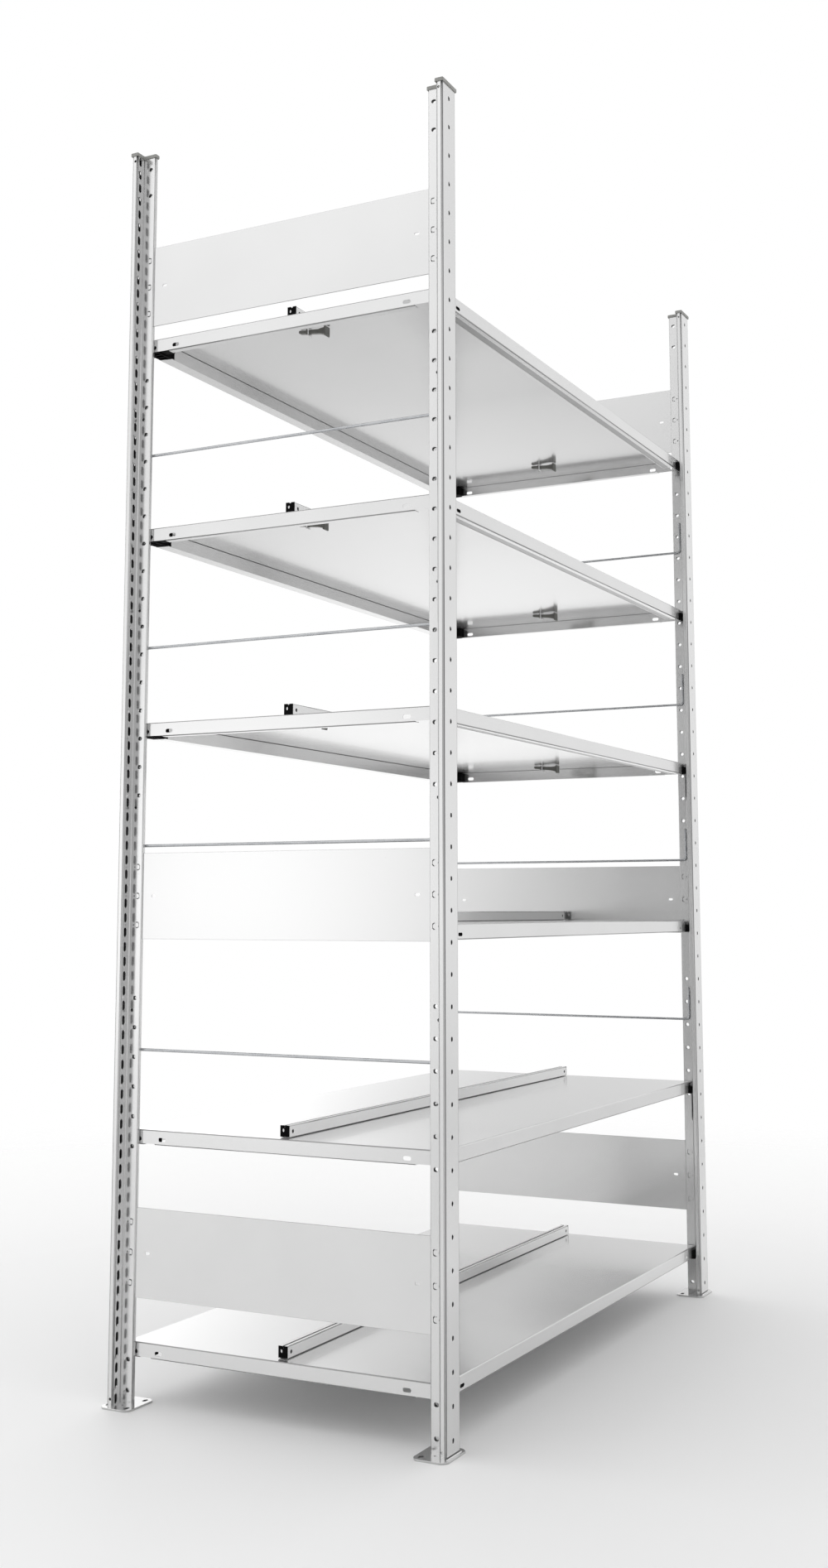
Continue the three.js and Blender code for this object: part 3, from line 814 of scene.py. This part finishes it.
def bracket_blank(peg):
    """Front support: two thin walls in the corner of the fold, a black tongue and its hook."""
    bm = bmesh.new()
    wall = 1.6
    block(bm, (CORNER_WALL, BLOCK_END), (CORNER_WALL, CORNER_WALL + wall), (0.4, BLOCK_TOP - 0.2))
    top = bmesh.new()
    block(top, (CORNER_WALL, BLOCK_END), (CORNER_WALL, 24.6), (BLOCK_TOP - wall, BLOCK_TOP))
    bm = carved(bm, top, "UNION")
    for face in bm.faces:
        face.material_index = SECOND_FINISH
    tongue = bmesh.new()
    block(tongue, (CORNER_WALL, TONGUE_END), (TONGUE_BACK, 1.6), (0, 16), 0.9, 2)
    bm = carved(bm, tongue, "UNION")
    return carved(bm, peg, "UNION") if peg else bm


def shade_block_blank():
    """Black block with pockets in the end of a fold, behind the holes of the long edge: a dark piece
    that stands for the shade inside the fold, painted shade.
    """
    bm = bmesh.new()
    block(bm, (39.6, 82), (1.8, 23.2), (1.6, 22.8), 0.8, 1)
    tools = bmesh.new()
    for u in (43, 56, 69):
        block(tools, (u, u + 10), (4, 21), (-1, 14), 0.6, 1)
    return carved(bm, tools)


def brace_blank(peg):
    """Bent steel brace: a leg down the post, a gusset under the shelf and its hooks."""
    bm = bmesh.new()
    prism(bm, [
        (CORNER_WALL, 22), (20, 22), (20, -50), (15, -58), (6.3, -58), (CORNER_WALL, -50),
    ], -1.5, 0, "y")
    bmesh.ops.translate(bm, verts=bm.verts, vec=(0, TONGUE_BACK, 0))
    gusset = bmesh.new()
    outline = [(TONGUE_BACK, 1.9), (4, 1.9), (4, 0), (-5.4, -14), (TONGUE_BACK, -14)]
    prism(gusset, outline, CORNER_WALL, CORNER_WALL + 1.8, "x")
    bm = carved(bm, gusset, "UNION")
    return carved(bm, peg, "UNION")


def corner_place(ex, fy, number):
    """From the corner's own frame to its place in the bay, which mirrors two of the four."""
    x, y = ex * SHELF_HALF, fy * SHELF_REACH
    return Matrix.Translation((x, y, bottom_of(number))) @ Matrix.Diagonal((-ex, -fy, 1, 1))


def make_shelves():
    trays = {braced: tray_blank(braced) for braced in (False, True)}
    for tray in trays.values():
        tray.normal_update()
        tray_bends(tray)
    rail, plug, wedge = rail_blank(), plug_blank(), wedge_blank()
    rail.normal_update()
    rail_edges(rail)
    supports = {
        ("front", False): bracket_blank(hook_blank((SUPPORT_SEAT,))),
        ("front", True): bracket_blank(None),
        ("back", False): support_blank(hook_blank((SUPPORT_SEAT,))),
        ("back", True): support_blank(None),
    }
    brace = brace_blank(hook_blank((SUPPORT_SEAT, SUPPORT_SEAT - 2 * SLOT_STEP)))
    shade_block = shade_block_blank()
    for number in SHELVES:
        body, braced = body_of(number), number in BRACED
        up = Matrix.Translation((0, 0, bottom_of(number)))
        on = Matrix.Translation((0, 0, shelf_top(number) + RAIL_LIFT))
        piece(f"tray_shelf_{number}", trays[braced].copy(), [PAINT, RIM_SHADE_PAINT], body,
              [f"shelf_{number}"], up)
        piece(f"slotted_rail_{number}", rail.copy(), [RAIL_PAINT, EDGE_SHADE_PAINT], body,
              [f"divider_rail_{number}"], on)
        for end, ex in ENDS:
            turn = Matrix.Rotation(math.pi if ex < 0 else 0, 4, "Z")
            piece(f"rail_plug_{number}_{end}", plug.copy(), [BLACK_PLASTIC, RAIL_PAINT], body,
                  (), on @ turn)
        for end, x in zip(("left", "right"), TAB_PLACES):
            under = Matrix.Translation((x, 0, shelf_top(number) - 1))
            piece(f"tab_wedge_{number}_{end}", wedge.copy(), [WEDGE_PLASTIC], body,
                  (), under)
        for face, fy in FACES:
            for end, ex in ENDS:
                node = f"{number}_{face}_{end}"
                place = corner_place(ex, fy, number)
                support = supports[face, braced].copy()
                piece(f"corner_support_{node}", support, [BLACK_PLASTIC, BRACE_ZINC], "frame",
                      [f"support_{node}"], place)
                # A black block in the fold's end stands for the shade inside it: painted shade.
                if (face, end) != ("front", "right"):
                    piece(f"fold_shade_block_{node}", shade_block.copy(), [BLACK_PLASTIC], body,
                          (), place)
                if braced:
                    piece(f"steel_brace_{node}", brace.copy(), [BRACE_ZINC], "frame",
                          (), place)
    for blank in (*trays.values(), *supports.values(), rail, plug, wedge, brace, shade_block):
        blank.free()


# Side panels and rods


def panel_blank():
    """Side panel with chamfered corners, a small hole near each end and softened edges."""
    half, edge, shoulder, end = 300.5, 74, 278.5, 66
    hole_out, past_hole = 256.5, 262
    bm = bmesh.new()
    prism(bm, [
        (-shoulder, -edge), (shoulder, -edge), (half, -end), (half, end), (shoulder, edge),
        (-shoulder, edge), (-half, end), (-half, -end),
    ], -1, 1, "x")
    tools = bmesh.new()
    for side in (-1, 1):
        slot_bar(tools, "x", (0, side * hole_out, 0), 10, 5, 6)
    bm = carved(bm, tools)
    rims = [e for e in bm.edges if e.calc_face_angle(0) > 1 and abs(e.verts[0].co.y) > past_hole]
    along = sharp_edges(bm, lambda co: abs(abs(co.z) - edge) < SAME)
    rims += [e for e in along if e not in rims]
    rounded(bm, rims, 0.35, 2)
    # The top and bottom rims get painted shade.
    for face in bm.faces:
        if abs(face.normal.z) > 0.3 and abs(face.calc_center_median().z) > 60:
            face.material_index = SECOND_FINISH
    return bm


ROD_RADIUS = 2.5
ROD_SIDES = 20
ROD_IN = 6.8


def rod_blank(towards):
    """Round bar with both ends turned up and their tips turned into the stem."""
    leg, rise, bend = POST_Y - ROD_TIP_IN, ROD_RISE, 7
    tip, tip_bend = 3.9, 2.6
    bm = bmesh.new()
    ring = bmesh.ops.create_circle(bm, cap_ends=False, radius=ROD_RADIUS, segments=ROD_SIDES)["verts"]
    bmesh.ops.transform(bm, matrix=FACING["x"], verts=ring)
    bmesh.ops.translate(bm, verts=ring, vec=(towards * tip, -leg, rise))
    edges = edges_of(ring)

    def drawn(vec):
        """Goes straight on from the last ring of edges."""
        nonlocal edges
        grown = bmesh.ops.extrude_edge_only(bm, edges=edges)["geom"]
        verts = [g for g in grown if isinstance(g, bmesh.types.BMVert)]
        bmesh.ops.translate(bm, verts=verts, vec=vec)
        edges = [g for g in grown if isinstance(g, bmesh.types.BMEdge)
                 and all(v in verts for v in g.verts)]

    def bent(centre, axis, angle, steps):
        """Turns the last ring of edges about a centre."""
        nonlocal edges
        last = bmesh.ops.spin(bm, geom=edges, cent=centre, axis=axis, angle=angle, steps=steps,
                              use_duplicate=False)["geom_last"]
        edges = [g for g in last if isinstance(g, bmesh.types.BMEdge)]

    quarter = math.pi / 2
    drawn((-towards * (tip - tip_bend), 0, 0))
    bent((towards * tip_bend, -leg, rise - tip_bend), (0, 1, 0), -towards * quarter, 6)
    drawn((0, 0, bend + tip_bend - rise))
    bent((0, bend - leg, bend), (1, 0, 0), quarter, 8)
    drawn((0, 2 * (leg - bend), 0))
    bent((0, leg - bend, bend), (1, 0, 0), quarter, 8)
    drawn((0, 0, rise - bend - tip_bend))
    bent((towards * tip_bend, leg, rise - tip_bend), (0, 1, 0), towards * quarter, 6)
    drawn((towards * (tip - tip_bend), 0, 0))
    bmesh.ops.remove_doubles(bm, verts=bm.verts, dist=0.001)
    bmesh.ops.holes_fill(bm, edges=bm.edges, sides=0)
    bmesh.ops.recalc_face_normals(bm, faces=bm.faces)
    ends = [e for e in bm.edges if e.calc_face_angle(0) > 1.3 and len(e.link_faces) == 2]
    rounded(bm, ends, 0.4, 2)
    return bm


def make_sides():
    panel = panel_blank()
    for end, ex in ENDS:
        for level, height in PANEL_HEIGHTS.items():
            place = Matrix.Translation((ex * POST_X, 0, height))
            piece(f"pressed_panel_{end}_{level}", panel.copy(), [PAINT, RIM_SHADE_PAINT], "frame",
                  [f"side_panel_{end}_{level}"], place)
        rod = rod_blank(ex)
        for number in SHELVES[1:-1]:
            height = shelf_top(number) + ROD_OVER_SHELF
            place = Matrix.Translation((ex * (POST_X - ROD_IN), 0, height))
            piece(f"bent_rod_{end}_{number}", rod.copy(), [ROD_ZINC], "frame",
                  [f"side_rod_{end}_{number}"], place)
        rod.free()
    panel.free()


# Camera, floor and light, all in metres


def make_camera():
    """The photo's own view, as solved from the bay's corners in it."""
    view = bpy.data.cameras.new("photo_view")
    view.lens = 39.067
    view.sensor_width = 36
    view.sensor_fit = "AUTO"
    view.shift_x = 0.0057
    view.shift_y = -0.0545
    view.clip_end = 100
    camera = bpy.data.objects.new("photo_view", view)
    camera.location = (-3.0601, -1.4981, 0.8241)
    yaw, pitch = math.radians(27.436), math.radians(7.115)
    look = Vector((math.cos(pitch) * math.cos(yaw), math.cos(pitch) * math.sin(yaw), math.sin(pitch)))
    camera.rotation_euler = look.to_track_quat("-Z", "Y").to_euler()
    bpy.context.scene.collection.objects.link(camera)
    bpy.context.scene.camera = camera


FLOOR_REACH = 9
FLOOR_FADE = (1.3, 3.6)


def make_floor():
    """Pale floor that fades into the white all round."""
    finish = Finish("studio_floor")
    reach = finish.node("ShaderNodeVectorMath", {"operation": "LENGTH"})
    finish.feed(reach.inputs[0], finish.node("ShaderNodeTexCoord").outputs["Object"])
    far = Shade(finish.tree, reach.outputs["Value"]).between(*FLOOR_FADE)
    ground = finish.node("ShaderNodeBsdfPrincipled", Base_Color=(0.95, 0.95, 0.95, 1), Roughness=0.6)
    clear = finish.node("ShaderNodeBsdfTransparent")
    blend = finish.node("ShaderNodeMixShader")
    finish.feed(blend.inputs[0], far)
    finish.feed(blend.inputs[1], ground.outputs[0])
    finish.feed(blend.inputs[2], clear.outputs[0])
    out = finish.node("ShaderNodeOutputMaterial")
    finish.feed(out.inputs[0], blend.outputs[0])
    bm = bmesh.new()
    bmesh.ops.create_circle(bm, cap_ends=True, radius=FLOOR_REACH, segments=96)
    mesh = bpy.data.meshes.new("studio_floor")
    bm.to_mesh(mesh)
    bm.free()
    mesh.materials.append(finish.owner)
    floor = bpy.data.objects.new("studio_floor", mesh)
    bpy.context.scene.collection.objects.link(floor)


# The studio's even glow, and the soft windows and dark flags in it. Each has its azimuth from +X
# towards +Y and its height over the horizon in degrees, how tight it is, and its strength
ROOM_GLOW = 0.98
DARKEST_WALL = 0.12
ROOM_LIGHTS = (
    (135, 0, 60, -0.74), (145, 0, 90, 1.03), (166, 0, 90, -0.51), (178, 0, 40, -0.60),
    (150, 32, 40, 0.31), (150, -14, 60, -0.35), (-38, 0, 60, 0.40), (-24, -14, 60, -0.38),
    (22, 4, 60, -0.24), (42, 4, 60, 1.42), (27, 18, 50, -0.24), (27, -12, 50, 0.45),
    (39, -12, 50, -0.57), (20, -28, 40, -0.83), (90, 20, 4, 0.40), (210, 5, 6, -0.44),
    (290, 5, 6, -0.51), (90, 0, 10, -0.55),
)


def room_light(room):
    """The glow plus every window and flag, each strongest towards its own direction."""
    way = room.node("ShaderNodeTexCoord").outputs["Generated"]
    total = ROOM_GLOW
    for azimuth, height, tightness, strength in ROOM_LIGHTS:
        a, h = math.radians(azimuth), math.radians(height)
        towards = (math.cos(h) * math.cos(a), math.cos(h) * math.sin(a), math.sin(h))
        facing = room.node("ShaderNodeVectorMath", {"operation": "DOT_PRODUCT"})
        room.feed(facing.inputs[0], way)
        room.feed(facing.inputs[1], towards)
        near = Shade(room.tree, facing.outputs["Value"]).at_least(0)
        total = total + near.maths("POWER", near, tightness) * strength
    return total.at_least(DARKEST_WALL)


def make_light():
    """White behind the unit, and a room of soft lights around it."""
    world = bpy.data.worlds.new("studio")
    bpy.context.scene.world = world
    room = Finish("studio", world)
    around = room.node("ShaderNodeBackground", Color=(1, 1, 1, 1), Strength=room_light(room))
    white = room.node("ShaderNodeBackground", Color=(1, 1, 1, 1), Strength=1.0)
    blend = room.node("ShaderNodeMixShader")
    room.feed(blend.inputs[0], room.node("ShaderNodeLightPath").outputs["Is Camera Ray"])
    room.feed(blend.inputs[1], around.outputs[0])
    room.feed(blend.inputs[2], white.outputs[0])
    room.feed(room.node("ShaderNodeOutputWorld").inputs[0], blend.outputs[0])
    view = bpy.context.scene.view_settings
    view.view_transform = "Standard"
    view.look = "None"
    view.exposure = 0
    view.gamma = 1


make_camera()
make_light()
make_floor()
make_posts()
make_shelves()
make_sides()
